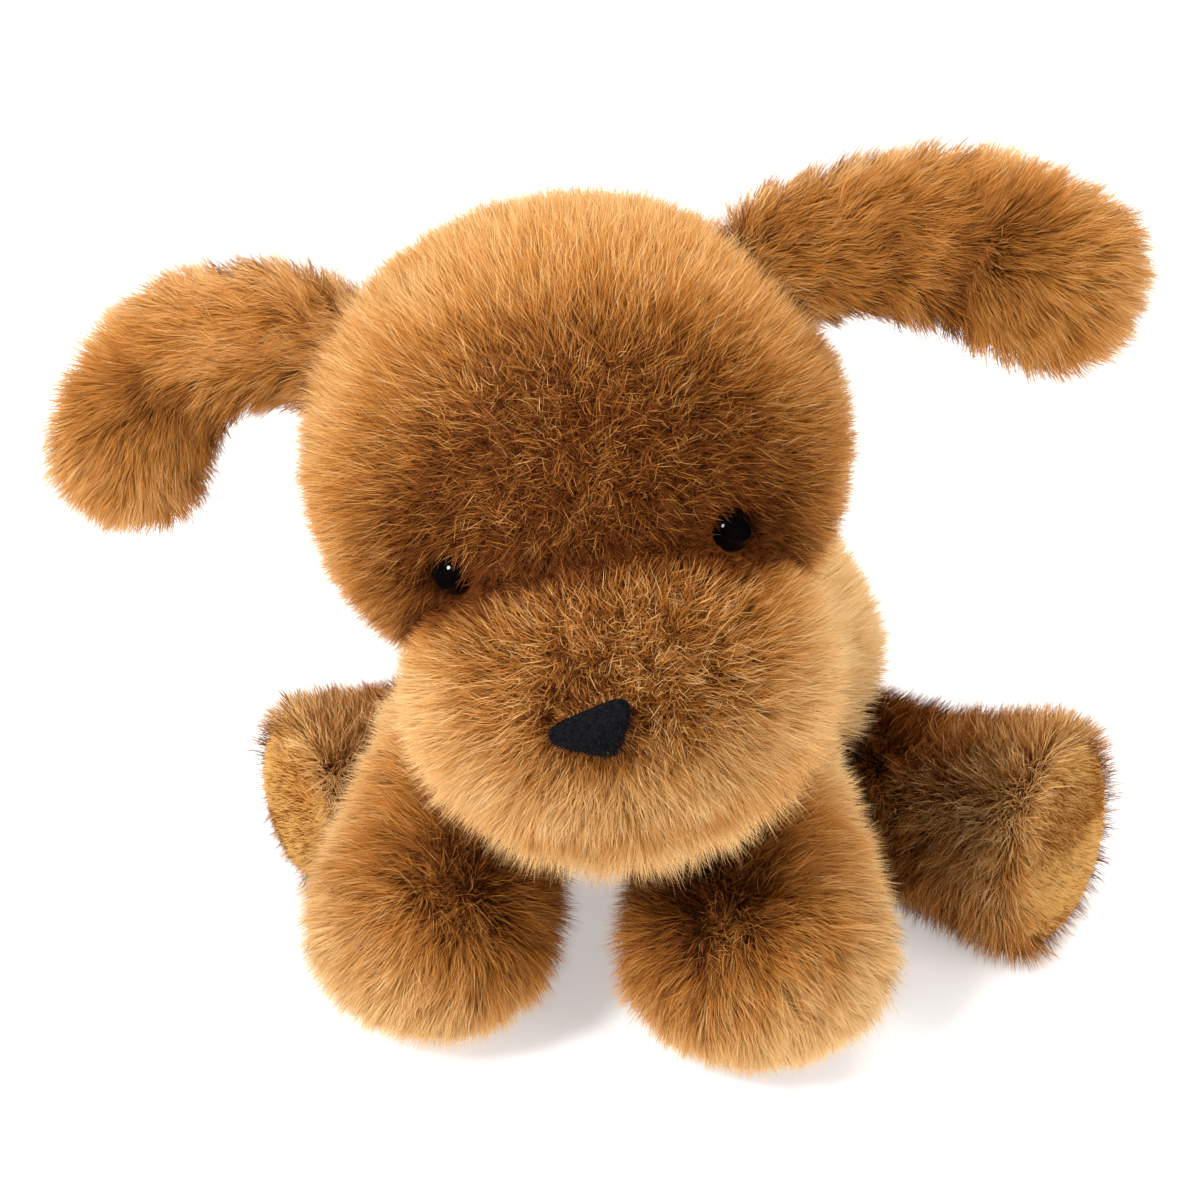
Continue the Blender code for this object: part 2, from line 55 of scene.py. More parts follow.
# The pile grows on a skin, a smooth surface just inside the solids, or just outside them at the neck.
SKIN_VOXEL = 2.5
SKIN_INSET = 3.2
NECK_INSET = -1.2
SKIN_FLOOR = 1.2
CLOTH_THICKNESS = 0.9
PILE_LENGTH = 12.0
PILE_WIDTH = 0.20
PILE_GLOSS = 0.06
UNDER_SHARE = 0.72
SOLE_LENGTH = 3.4
FLOOR_CLEAR = 0.35
# Strands per square millimetre of skin, and the most triangles in one piece.
PILE_DENSITY = 2.9
UNDER_DENSITY = 4.2
MOST_TRIANGLES = 190000
# Another body counts where it is nearer than NEAR_BY. A point with none is given FAR_AWAY.
NEAR_BY = 10.0
FAR_AWAY = 40.0

BODIES = frame["record"]["behaviour"]["bodies"]
PIVOTS = {joint["child"]: np.array(joint["pos_m"]) / MM for joint in frame["joints"]}
EARS = ("ear_left", "ear_right")


# ---------------------------------------------------------------- small helpers


def unit(v):
    return v / np.maximum(np.linalg.norm(v, axis=-1, keepdims=True), 1e-9)


def dot(a, b):
    return np.sum(a * b, axis=-1, keepdims=True)


def along(v, n):
    """The part of v that lies in the surface whose normals are n."""
    return v - n * dot(v, n)


def rise(x, low, high):
    t = np.clip((x - low) / (high - low), 0.0, 1.0)
    return t * t * (3.0 - 2.0 * t)


def waves(p, size, seed, count=7):
    """A smooth random field over points p, about -1 to 1, with features of that size."""
    rng = np.random.default_rng(seed)
    k = unit(rng.normal(size=(count, 3))) * (2 * math.pi / size) * rng.uniform(0.55, 1.5, (count, 1))
    phase = rng.uniform(0, 2 * math.pi, count)
    return np.sin(p @ k.T + phase).sum(axis=1) / math.sqrt(count) * 1.15


def vector_waves(p, size, seed):
    return np.stack([waves(p, size, seed + 17 * i) for i in range(3)], axis=1)


def box_middle(*nodes):
    corners = [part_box(node) for node in nodes]
    low = np.min([np.array(c[0]) for c in corners], axis=0)
    high = np.max([np.array(c[1]) for c in corners], axis=0)
    return (low + high) / 2 / MM


def node_points(node):
    data = frame["nodes"][node].data
    co = np.zeros(len(data.vertices) * 3, np.float32)
    data.vertices.foreach_get("co", co)
    return co.reshape(-1, 3).astype(float) / MM


# ---------------------------------------------------------------- where things are on the head

EYE_RADIUS = 5.25
HEAD_MIDDLE = box_middle("head_left_panel", "head_right_panel", "head_gusset")
NOSE_MIDDLE = box_middle("nose")
EYE_PLACES = {}
for eye_name in ("eye_left", "eye_right"):
    washer = box_middle(eye_name.replace("eye", "eye_washer"))
    tips = node_points(eye_name)
    reach = np.linalg.norm(tips - washer, axis=1)
    apex = tips[np.argmax(reach)]
    EYE_PLACES[eye_name] = (apex, unit(apex - washer))
HEAD_SIDE = unit(EYE_PLACES["eye_left"][0] - EYE_PLACES["eye_right"][0])
HEAD_AHEAD = unit(along(NOSE_MIDDLE - HEAD_MIDDLE, HEAD_SIDE))
HEAD_UP = np.cross(HEAD_AHEAD, -HEAD_SIDE)
HEAD_UP = HEAD_UP if HEAD_UP[2] > 0 else -HEAD_UP
HEAD_AXES = np.stack([HEAD_SIDE, HEAD_AHEAD, HEAD_UP], axis=1)


def in_head(p):
    """Points as (to the puppy's left, ahead, up) from the middle of the head."""
    return (p - HEAD_MIDDLE) @ HEAD_AXES


def from_head(side, ahead, up):
    return HEAD_MIDDLE + HEAD_AXES @ np.array([side, ahead, up], float)


# The nose is a soft triangle of three sides, each with its outward angle in degrees and its distance.
NOSE_SIDES = ((111.0, 5.2), (-15.0, 6.7), (-122.0, 5.5))
NOSE_ROUNDING = 3.4
NOSE_LIFT = 1.3
NOSE_CROWN = 3.4
nose_points = in_head(node_points("nose"))
nose_back, nose_front = nose_points[:, 1].min(), nose_points[:, 1].max()
nose_rim = nose_front - 5.4
nose_side, nose_up = nose_points[:, 0].mean(), nose_points[:, 2].mean() + NOSE_LIFT


def nose_radius(angle):
    total = 0.0
    for degrees, distance in NOSE_SIDES:
        total = total + (np.maximum(0.0, np.cos(angle - math.radians(degrees))) / distance) ** NOSE_ROUNDING
    return total ** (-1 / NOSE_ROUNDING)


def under_nose(p):
    """Points that the nose covers, on the front of the muzzle."""
    side, ahead, up = (in_head(p) - [nose_side, 0, nose_up]).T
    return (np.hypot(side, up) < 0.9 * nose_radius(np.arctan2(up, side))) & (ahead > 0)


def under_eye(p):
    """Points that an eye covers."""
    middles = [apex - axis * EYE_RADIUS for apex, axis in EYE_PLACES.values()]
    return np.min([np.linalg.norm(p - middle, axis=1) for middle in middles], axis=0) < EYE_RADIUS + 0.7


def nose_surface(share, angle):
    """A place on the nose, which is crowned, with a fold down its middle."""
    radius = float(nose_radius(angle)) * share
    x, z = math.cos(angle) * radius, math.sin(angle) * radius
    crown = NOSE_CROWN * math.sqrt(max(0.0, 1 - share**2.4))
    fold = 0.8 * math.exp(-(((x - 2.2) / 0.9) ** 2)) * min(1.0, 1.6 * (1 - share))
    return nose_side + x, nose_front - 4.2 + crown - fold, nose_up + z


# ---------------------------------------------------------------- materials


def new_material(name, roughness, sheen=0.0, specular=0.5):
    material = bpy.data.materials.new(name)
    material.use_nodes = True
    shader = next(n for n in material.node_tree.nodes if n.type == "BSDF_PRINCIPLED")
    shader.inputs["Roughness"].default_value = roughness
    shader.inputs["Sheen Weight"].default_value = sheen
    shader.inputs["Sheen Roughness"].default_value = 0.45
    shader.inputs["Sheen Tint"].default_value = (1.0, 0.78, 0.5, 1.0)
    shader.inputs["Specular IOR Level"].default_value = specular
    return material, material.node_tree.nodes, material.node_tree.links, shader


def add_ramp(nodes, stops):
    ramp = nodes.new("ShaderNodeValToRGB")
    elements = ramp.color_ramp.elements
    while len(elements) < len(stops):
        elements.new(0.5)
    for element, (place, color) in zip(elements, stops):
        element.position = place
        element.color = (*color, 1.0)
    return ramp


def pile_material(name, tones, roughness):
    """Colour along each strand, in a few tones. U picks the tone and V runs from the root to the tip."""
    material, nodes, links, shader = new_material(name, roughness, specular=PILE_GLOSS)
    uv = nodes.new("ShaderNodeUVMap")
    uv.uv_map = "OFBake"
    split = nodes.new("ShaderNodeSeparateXYZ")
    links.new(uv.outputs["UV"], split.inputs["Vector"])
    last = None
    for place, stops in tones:
        ramp = add_ramp(nodes, stops)
        links.new(split.outputs["Y"], ramp.inputs["Fac"])
        if last is None:
            last, last_place = ramp.outputs["Color"], place
            continue
        share = nodes.new("ShaderNodeMapRange")
        share.inputs["From Min"].default_value = last_place
        share.inputs["From Max"].default_value = place
        links.new(split.outputs["X"], share.inputs["Value"])
        mix = nodes.new("ShaderNodeMix")
        mix.data_type = "RGBA"
        links.new(share.outputs["Result"], mix.inputs["Factor"])
        links.new(last, mix.inputs["A"])
        links.new(ramp.outputs["Color"], mix.inputs["B"])
        last, last_place = mix.outputs["Result"], place
    links.new(last, shader.inputs["Base Color"])
    return material


def spotted_material(
    name, low, high, size_m, roughness, bump=0.0, sheen=0.0, stretch=(1, 1, 1), specular=0.5
):
    """Two colours mixed by fine noise, with an optional bump of the same noise."""
    material, nodes, links, shader = new_material(name, roughness, sheen, specular)
    place = nodes.new("ShaderNodeTexCoord")
    mapping = nodes.new("ShaderNodeMapping")
    mapping.inputs["Scale"].default_value = stretch
    links.new(place.outputs["Object"], mapping.inputs["Vector"])
    noise = nodes.new("ShaderNodeTexNoise")
    noise.inputs["Scale"].default_value = 1.0 / size_m
    noise.inputs["Detail"].default_value = 5.0
    links.new(mapping.outputs["Vector"], noise.inputs["Vector"])
    ramp = add_ramp(nodes, [(0.35, low), (0.65, high)])
    links.new(noise.outputs["Fac"], ramp.inputs["Fac"])
    links.new(ramp.outputs["Color"], shader.inputs["Base Color"])
    if bump:
        bumps = nodes.new("ShaderNodeBump")
        bumps.inputs["Strength"].default_value = bump
        bumps.inputs["Distance"].default_value = 0.0006
        links.new(noise.outputs["Fac"], bumps.inputs["Height"])
        links.new(bumps.outputs["Normal"], shader.inputs["Normal"])
    return material


FUR = pile_material(
    "long_golden_pile",
    [
        (0.0, [(0.0, (0.026, 0.005, 0.001)), (0.45, (0.095, 0.021, 0.003)), (1.0, (0.265, 0.074, 0.013))]),
        (0.5, [(0.0, (0.120, 0.032, 0.003)), (0.45, (0.440, 0.145, 0.020)), (1.0, (0.740, 0.320, 0.070))]),
        (1.0, [(0.0, (0.380, 0.155, 0.030)), (0.45, (0.820, 0.470, 0.160)), (1.0, (0.950, 0.700, 0.370))]),
    ],
    0.7,
)
SOLE = pile_material(
    "short_yellow_brown_pile",
    [
        (0.0, [(0.0, (0.120, 0.036, 0.004)), (1.0, (0.460, 0.170, 0.024))]),
        (0.5, [(0.0, (0.320, 0.110, 0.014)), (1.0, (0.800, 0.370, 0.070))]),
        (1.0, [(0.0, (0.560, 0.240, 0.045)), (1.0, (0.930, 0.560, 0.190))]),
    ],
    0.75,
)
NOSE_FELT = spotted_material(
    "black_felt", (0.003, 0.003, 0.004), (0.010, 0.010, 0.012), 0.0011, 0.9, 0.5, specular=0.04
)
NOSE_FUZZ = pile_material(
    "black_fuzz",
    [
        (0.0, [(0.0, (0.003, 0.003, 0.004)), (1.0, (0.010, 0.010, 0.012))]),
        (1.0, [(0.0, (0.006, 0.006, 0.007)), (1.0, (0.050, 0.050, 0.056))]),
    ],
    0.8,
)
EYE_PLASTIC = spotted_material(
    "black_gloss_plastic", (0.001, 0.001, 0.001), (0.003, 0.002, 0.002), 0.004, 0.07, specular=0.24
)
WASHER_PLASTIC = spotted_material(
    "natural_white_plastic", (0.62, 0.61, 0.57), (0.74, 0.73, 0.69), 0.003, 0.42
)
FIBREFILL = spotted_material(
    "white_fibrefill", (0.62, 0.61, 0.58), (0.90, 0.89, 0.86), 0.0035, 0.9, 0.9, 0.3, (1.0, 1.0, 3.2), 0.2
)
POUCH_CLOTH = spotted_material(
    "cotton_pouch", (0.42, 0.39, 0.34), (0.62, 0.59, 0.53), 0.0012, 0.88, 0.6, 0.1, specular=0.2
)


# ---------------------------------------------------------------- skins under the pile


def mesh_arrays(data):
    data.calc_loop_triangles()
    points = np.zeros(len(data.vertices) * 3, np.float32)
    normals = np.zeros(len(data.vertices) * 3, np.float32)
    triangles = np.zeros(len(data.loop_triangles) * 3, np.int32)
    data.vertices.foreach_get("co", points)
    data.vertices.foreach_get("normal", normals)
    data.loop_triangles.foreach_get("vertices", triangles)
    return points.reshape(-1, 3) / MM, normals.reshape(-1, 3).astype(float), triangles.reshape(-1, 3)


def rounded_shell(nodes, voxel, rounds):
    """One smooth closed surface round all these CAD nodes."""
    joined = bmesh.new()
    for node in nodes:
        joined.from_mesh(frame["nodes"][node].data)
    data = bpy.data.meshes.new("work")
    joined.to_mesh(data)
    joined.free()
    obj = bpy.data.objects.new("work", data)
    bpy.context.scene.collection.objects.link(obj)
    remesh = obj.modifiers.new("remesh", "REMESH")
    remesh.mode = "VOXEL"
    remesh.voxel_size = voxel * MM
    smooth = obj.modifiers.new("smooth", "SMOOTH")
    smooth.factor = 0.5
    smooth.iterations = rounds
    evaluated = obj.evaluated_get(bpy.context.evaluated_depsgraph_get())
    shell = evaluated.to_mesh()
    arrays = mesh_arrays(shell)
    evaluated.to_mesh_clear()
    bpy.data.objects.remove(obj)
    bpy.data.meshes.remove(data)
    return arrays


def vertex_normals(points, triangles):
    a, b, c = (points[triangles[:, i]] for i in range(3))
    face = np.cross(b - a, c - a)
    normals = np.zeros_like(points)
    for i in range(3):
        np.add.at(normals, triangles[:, i], face)
    return unit(normals)


def relax(points, triangles, rounds):
    """Evens out a triangle mesh by moving each point towards its neighbours."""
    edges = np.concatenate([triangles[:, [0, 1]], triangles[:, [1, 2]], triangles[:, [2, 0]]])
    edges = np.unique(np.sort(edges, axis=1), axis=0)
    count = np.zeros(len(points))
    for i in range(2):
        np.add.at(count, edges[:, i], 1)
    for _ in range(rounds):
        total = np.zeros_like(points)
        np.add.at(total, edges[:, 0], points[edges[:, 1]])
        np.add.at(total, edges[:, 1], points[edges[:, 0]])
        points = points * 0.5 + 0.5 * total / count[:, None]
    return points


def tree_of(points, triangles):
    return BVHTree.FromPolygons(points.tolist(), triangles.tolist())


def panels_of(body):
    """The CAD nodes that pile grows on: a body's panels, or the fill itself where there are none."""
    return [n for n in BODIES[body] if n.endswith(("_panel", "_gusset", "_sole"))] or BODIES[body]


skins = {}
for body, nodes in BODIES.items():
    shell_nodes = [n for n in nodes if n != "bean_pouch"]
    points, normals, triangles = rounded_shell(shell_nodes, SKIN_VOXEL, 8)
    shell_tree = tree_of(points, triangles)
    points = relax(points - normals * (NECK_INSET if body == "neck" else SKIN_INSET), triangles, 2)
    points[:, 2] = np.maximum(points[:, 2], SKIN_FLOOR)
    skins[body] = {"points": points, "normals": vertex_normals(points, triangles), "triangles": triangles}
    skins[body]["shell_tree"] = shell_tree

# Each skin triangle belongs to the panel that it lies under.
for body, skin in skins.items():
    panels = panels_of(body)
    trees = [tree_of(*mesh_arrays(frame["nodes"][n].data)[::2]) for n in panels]
    middles = (skin["points"] + skin["normals"] * (SKIN_INSET - 0.5))[skin["triangles"]].mean(axis=1)
    away = np.array([[tree.find_nearest(p)[3] for tree in trees] for p in middles.tolist()])
    skin["panels"] = panels
    skin["label"] = np.argmin(away, axis=1)


def depth_outside(body, points):
    """How far each point is outside every other body's skin; negative inside one."""
    found = np.full(len(points), FAR_AWAY)
    for other, skin in skins.items():
        if other in (body, "neck"):
            continue
        low, high = skin["points"].min(axis=0) - NEAR_BY, skin["points"].max(axis=0) + NEAR_BY
        near = ((points > low) & (points < high)).all(axis=1)
        for i in np.flatnonzero(near):
            p = Vector(points[i])
            place, normal, _, distance = skin["shell_tree"].find_nearest(p)
            signed = distance if (p - place).dot(normal) > 0 else -distance
            found[i] = min(found[i], signed + SKIN_INSET)
    return found


def distance_to_border(skin, one_side):
    """How far each skin point is from the edge between some panels and the rest."""
    inside = np.isin(np.array(skin["panels"])[skin["label"]], one_side)
    border = np.intersect1d(skin["triangles"][inside], skin["triangles"][~inside])
    tree = KDTree(len(border))
    for i, place in enumerate(skin["points"][border].tolist()):
        tree.insert(place, i)
    tree.balance()
    return np.array([tree.find(place)[2] for place in skin["points"].tolist()])


# The head has two borders: the crease, where the muzzle meets the skull, and the mouth, round the chin.
MUZZLE_PANELS = ["muzzle_left_panel", "muzzle_right_panel", "chin_panel"]
for body, skin in skins.items():
    skin["outside"] = depth_outside(body, skin["points"])
    skin["borders"] = np.full((len(skin["points"]), 2), FAR_AWAY)
skins["head"]["borders"][:, 0] = distance_to_border(skins["head"], MUZZLE_PANELS)
skins["head"]["borders"][:, 1] = distance_to_border(skins["head"], MUZZLE_PANELS[2:])


# ---------------------------------------------------------------- how the pile lies

FOREHEAD = from_head(2, 52, 16)
MUZZLE_TOP = from_head(2, 84, 4)


def rest_of(p, flow, lean, length, tone, mess):
    """Fills in what a body's pile leaves plain, for every root."""
    count = len(p)
    flow = flow * np.ones((count, 1))
    return flow, *(np.ones(count) * value for value in (lean, length, tone, mess))


def head_pile(p, n, label, borders):
    """Flow, lean, length, tone and mess of the pile on the head."""
    side, ahead, up = in_head(p).T
    crease, mouth = borders.T
    on_muzzle = np.isin(label, MUZZLE_PANELS)
    whorl = np.where(on_muzzle[:, None], MUZZLE_TOP, FOREHEAD)
    from_whorl = p - whorl
    spread = np.linalg.norm(from_whorl, axis=1)
    flow = unit(from_whorl)
    flow[~on_muzzle] += np.array([0, 0, -0.12])
    low_rim = on_muzzle * rise(-up, 16, 36)
    flow += np.array([0, 0, -0.55]) * low_rim[:, None]
    flow[label == "chin_panel"] += HEAD_AHEAD * 0.1 - HEAD_UP * 0.8
    middle = np.sign(side) * np.exp(-((side / 6.0) ** 2)) * rise(-up, 8, 16) * on_muzzle
    flow += HEAD_SIDE * middle[:, None] * 0.9
    stands = np.where(on_muzzle, 1 - rise(spread, 18, 52), 1 - rise(spread, 28, 80))
    toward_skull = on_muzzle * rise(up, -6, 8)
    stands = np.maximum(stands, 0.85 * toward_skull * (1 - rise(np.abs(side), 34, 52)))
    upper = rise(up, -16, 2)
    stands *= np.where(on_muzzle, 0.4 + 0.6 * upper, 1.0)
    lean = 5 + 40 * (1 - stands)
    mess = 0.14 + 0.46 * stands
    length = PILE_LENGTH * (1 - 0.16 * stands) + 4.0 * low_rim
    tone = np.where(on_muzzle, 0.71 + 0.07 * rise(spread, 40, 62), 0.66)
    # Where the pile stands up, as in the middle of the forehead, its colour is darkened: painted shade of the
    # roots seen between the strands.
    tone += np.where(on_muzzle, -0.34 * stands * upper, -0.62 * stands)
    valley = np.exp(-((crease / np.where(on_muzzle, 6.5, 4.5)) ** 2)) * rise(ahead, 12, 40)
    # Pile in the crease between muzzle and skull is darkened: painted shade in the crease.
    tone -= 0.60 * valley
    length *= 1 - 0.56 * valley
    mouth_crease = np.exp(-((mouth / 2.6) ** 2))
    # Pile along the mouth line round the chin is darkened: painted shade in the crease.
    tone -= 0.36 * mouth_crease
    length *= 1 - 0.35 * mouth_crease
    for name, (apex, _) in EYE_PLACES.items():
        away = p - apex
        gap = np.linalg.norm(away, axis=1)
        close = np.exp(-((gap / (11.5 if name == "eye_left" else 8.5)) ** 2))
        length *= 1 - (0.70 if name == "eye_left" else 0.46) * close
        # The pile round each eye is darkened: painted shadow round the eye.
        tone -= 0.50 * close
        flow += unit(along(away, n)) * close[:, None] * 2.0
        lean += 24 * close
    away = p - NOSE_MIDDLE
    gap = np.linalg.norm(away, axis=1)
    close = np.exp(-((gap / 10.0) ** 2))
    above = rise(away @ HEAD_UP, 0, 8)
    length *= 1 - close * (0.60 - 0.50 * above)
    length = np.where(under_nose(p), 3.5, length)
    flow += unit(along(away, n)) * (close * (1 - above))[:, None] * 2.0 - HEAD_UP * (close * above)[:, None]
    lean += 14 * close
    # The pile round the nose is darkened, most of all below it: painted shade round and under the nose.
    tone -= 0.26 * close * (1 - 0.5 * above)
    return rest_of(p, flow, lean, length, tone, mess)


def far_end(body, count=70):
    """The pivot, and the middle of the skin's points that are furthest from it."""
    skin, pivot = skins[body]["points"], PIVOTS[body]
    far = skin[np.argsort(np.linalg.norm(skin - pivot, axis=1))[-count:]].mean(axis=0)
    return pivot, far


def foreleg_pile(p, n, body):
    """Pile that runs down the leg, opens out from high on the paw, and parts down its front."""
    pivot, far = far_end(body)
    down = unit(far - pivot)
    reach = np.linalg.norm(far - pivot)
    travel = (p - pivot) @ down / reach
    whorl = pivot + down * reach * 0.60 + np.array([-15.0 * np.sign(far[0]), -6, 24.0])
    from_whorl = p - whorl
    spread = np.linalg.norm(from_whorl, axis=1)
    flow = unit(from_whorl) + down * 0.25 + np.array([0, 0, -0.12])
    beside = np.cross(down, [0, 0, 1])
    beside = unit(beside) * (1 if beside[0] > 0 else -1)
    off = (p - whorl) @ beside
    parting = np.exp(-((off / 4.5) ** 2)) * rise(travel, 0.5, 0.75) * rise(n[:, 2], -0.3, 0.2)
    parting *= 1.0 if body == "foreleg_left" else 0.4
    flow += beside * (np.sign(off) * parting)[:, None] * 0.9
    lean = 16 + 32 * rise(spread, 6, 36)
    length = PILE_LENGTH * (0.85 + 0.15 * rise(travel, 0.1, 0.5)) * (1 - 0.45 * rise(-n[:, 2], 0.0, 0.6))
    # The pile is darker near the whorl, where it stands, and along the parting: painted shade of the roots that
    # show there.
    tone = 0.16 + 0.71 * rise(spread, 10, 50) - 0.12 * parting
    return rest_of(p, flow, lean, length, tone, 0.14 + 0.16 * (1 - rise(spread, 8, 34)))


def hind_leg_pile(p, n, body):
    """Pile that runs out along the leg and hangs over the edge of the sole."""
    pivot, far = far_end(body)
    out = unit(far - pivot)
    reach = np.linalg.norm(far - pivot)
    travel = (p - pivot) @ out / reach
    flow = out * 0.9 + np.array([0, -0.1, -0.55])
    lean = 36 - 14 * rise(travel, 0.4, 0.8)
    # The pile is darkest at the leg's root beside the body, painted shade between leg and body, and lighter where
    # it faces up, painted light from above.
    tone = 0.04 + 0.52 * rise(travel, 0.2, 0.9) + 0.36 * rise(n[:, 2], 0.0, 0.8) * rise(travel, 0.2, 0.6)
    return rest_of(p, flow, lean, PILE_LENGTH * 0.95, tone, 0.14 + 0.14 * rise(travel, 0.2, 0.6))


def ear_line(body):
    """The curve down the middle of an ear, from root to tip, its direction, and the side it bulges to."""
    pivot, far = far_end(body, 90)
    skin = skins[body]["points"]
    travel = (skin - pivot) @ (far - pivot) / np.sum((far - pivot) ** 2)
    halfway = skin[(travel > 0.38) & (travel < 0.62)].mean(axis=0)
    bend = 2 * halfway - 0.5 * (pivot + far)
    s = np.linspace(0, 1, 41)[:, None]
    line = pivot * (1 - s) ** 2 + bend * 2 * s * (1 - s) + far * s**2
    bulge = halfway - (pivot + far) / 2
    return line, unit(np.gradient(line, axis=0)), unit(bulge * np.array([1, 0, 1]))


EAR_LINES = {body: ear_line(body) for body in EARS}


def ear_pile(p, n, body):
    """Pile that runs down the ear to a fold, and opens again from a whorl on the pad beyond it."""
    line, ways, bulge = EAR_LINES[body]
    nearest = np.argmin(((p[:, None] - line[None]) ** 2).sum(axis=2), axis=1)
    travel = nearest / 40
    run = ways[nearest]
    off = p - line[nearest]
    out = unit(along(off, run))
    fold = 0.54
    from_whorl = p - (line[26] + bulge * 6.0 + np.array([0, -8.0, 0]))
    spread = np.linalg.norm(from_whorl, axis=1)
    beyond = rise(travel, fold - 0.02, fold + 0.10)
    flow = (run + out * 0.22) * (1 - beyond)[:, None] + (unit(from_whorl) + run * 0.7) * beyond[:, None]
    edge = 1 - rise(np.abs(n[:, 1]), 0.15, 0.75)
    lean = 50 - 6 * rise(travel, 0.2, 0.5) - 24 * beyond * (1 - rise(spread, 4, 26)) + 2 * edge
    front = rise(-n[:, 1], 0, 0.6)
    inner = rise(-(off @ bulge), -8, 6)
    shade = 0.18 if body == "ear_left" else 0.06
    # The rim of the ear, seen side-on from the front, is made lighter: a painted glow. The front of the left ear,
    # away from the key light, is made darker: painted shade.
    tone = 0.52 + 0.12 * rise(travel, 0.85, 1.0) + 0.20 * edge - shade * front * (1 - beyond)
    # The fold and the middle of the whorl beyond it are made darker: painted shade in the crease and between
    # standing strands.
    tone -= 0.34 * np.exp(-(((travel - fold) / 0.07) ** 2)) * front * (0.4 + 0.6 * inner)
    tone -= 0.20 * beyond * front * (1 - rise(spread, 4, 24))
    tone -= 0.05 * beyond
    return rest_of(p, flow, lean, PILE_LENGTH * (0.94 + 0.12 * rise(travel, 0.0, 0.4)), tone, 0.10)


def torso_pile(p, n):
    flow = np.array([0, 0.9, -0.45]) + along(p - skins["torso"]["points"].mean(axis=0), n) * 0.012
    # The pile that faces down is darker: painted shade under the body.
    return rest_of(p, flow, 42, PILE_LENGTH, 0.90 - 0.4 * rise(-n[:, 2], 0.2, 0.8), 0.14)


def tail_pile(p, n):
    return rest_of(p, unit(p - PIVOTS["tail"]), 40, PILE_LENGTH * 0.9, 0.82, 0.14)


def neck_pile(p, n):
    """A collar that stands out from the neck and fills the space between the head and the body."""
    return rest_of(p, np.array([0, 0, 1.0]), 12, PILE_LENGTH * 1.25, 0.5, 0.3)


def pile_of(body, p, n, label, borders):
    if body == "head":
        return head_pile(p, n, label, borders)
    if body in EARS:
        return ear_pile(p, n, body)
    if body.startswith("foreleg"):
        return foreleg_pile(p, n, body)
    if body.startswith("hind_leg"):
        return hind_leg_pile(p, n, body)
    plain = {"torso": torso_pile, "tail": tail_pile, "neck": neck_pile}
    return plain[body](p, n)


# ---------------------------------------------------------------- strands


def triangle_areas(points, triangles):
    a, b, c = (points[triangles[:, i]] for i in range(3))
    return np.linalg.norm(np.cross(b - a, c - a), axis=1) / 2


def scatter(rng, points, triangles, weight, density):
    """Random places on the triangles, weight times density of them per square millimetre."""
    wanted = triangle_areas(points, triangles) * weight * density
    count = np.floor(wanted + rng.random(len(wanted))).astype(int)
    face = np.repeat(np.arange(len(triangles)), count)
    u, v = rng.random(len(face)), rng.random(len(face))
    over = u + v > 1
    u[over], v[over] = 1 - u[over], 1 - v[over]
    return face, np.stack([1 - u - v, u, v], axis=1)


def spread_over(values, triangles, face, share):
    """Values at the mesh's points, read at places on its faces."""
    corners = values[triangles[face]]
    return (corners * (share[:, :, None] if corners.ndim == 3 else share)).sum(axis=1)


def strand_paths(rng, p, n, flow, lean, length, mess, steps):
    """Points along each strand, from its root, and the direction of each step."""
    count = len(p)
    tangent = unit(along(flow, n) + 1e-6)
    across = np.cross(n, tangent)
    wander = vector_waves(p, 10.0, 5) * 0.28 + vector_waves(p, 3.8, 9) * 0.32
    tangent = unit(tangent + along(wander, n))
    stray = rng.normal(size=(count, 2)) * (mess[:, None] + 0.16 * (rng.random((count, 1)) < 0.10))
    lean = np.radians(lean + rng.normal(size=count) * 8 + waves(p, 6.0, 21) * 8)
    rng.random(count)  # Nothing uses this draw. It keeps the draws after it as they were.
    path = [p]
    for i in range(steps):
        s = (i + 0.5) / steps
        angle = lean * (0.55 + 0.75 * s)
        way = n * np.cos(angle)[:, None] + tangent * np.sin(angle)[:, None]
        way = way + tangent * stray[:, :1] + across * stray[:, 1:]
        path.append(path[-1] + unit(way) * (length / steps)[:, None])
    return np.stack(path, axis=1)


def gather_locks(rng, path, share, pull):
    """Draws the tips of neighbouring strands together, as pile lies in small locks."""
    count = len(path)
    heads = rng.choice(count, max(1, int(count * share)), replace=False)
    tree = KDTree(len(heads))
    for i, place in enumerate(path[heads, 0].tolist()):
        tree.insert(place, i)
    tree.balance()
    nearest = np.array([tree.find(place)[1] for place in path[:, 0].tolist()])
    lead = path[heads[nearest]]
    s = np.linspace(0, 1, path.shape[1])[None, :, None]
    amount = pull[:, None, None] * rng.uniform(0.3, 1.0, (count, 1, 1)) * s**1.4
    return path * (1 - amount) + lead * amount


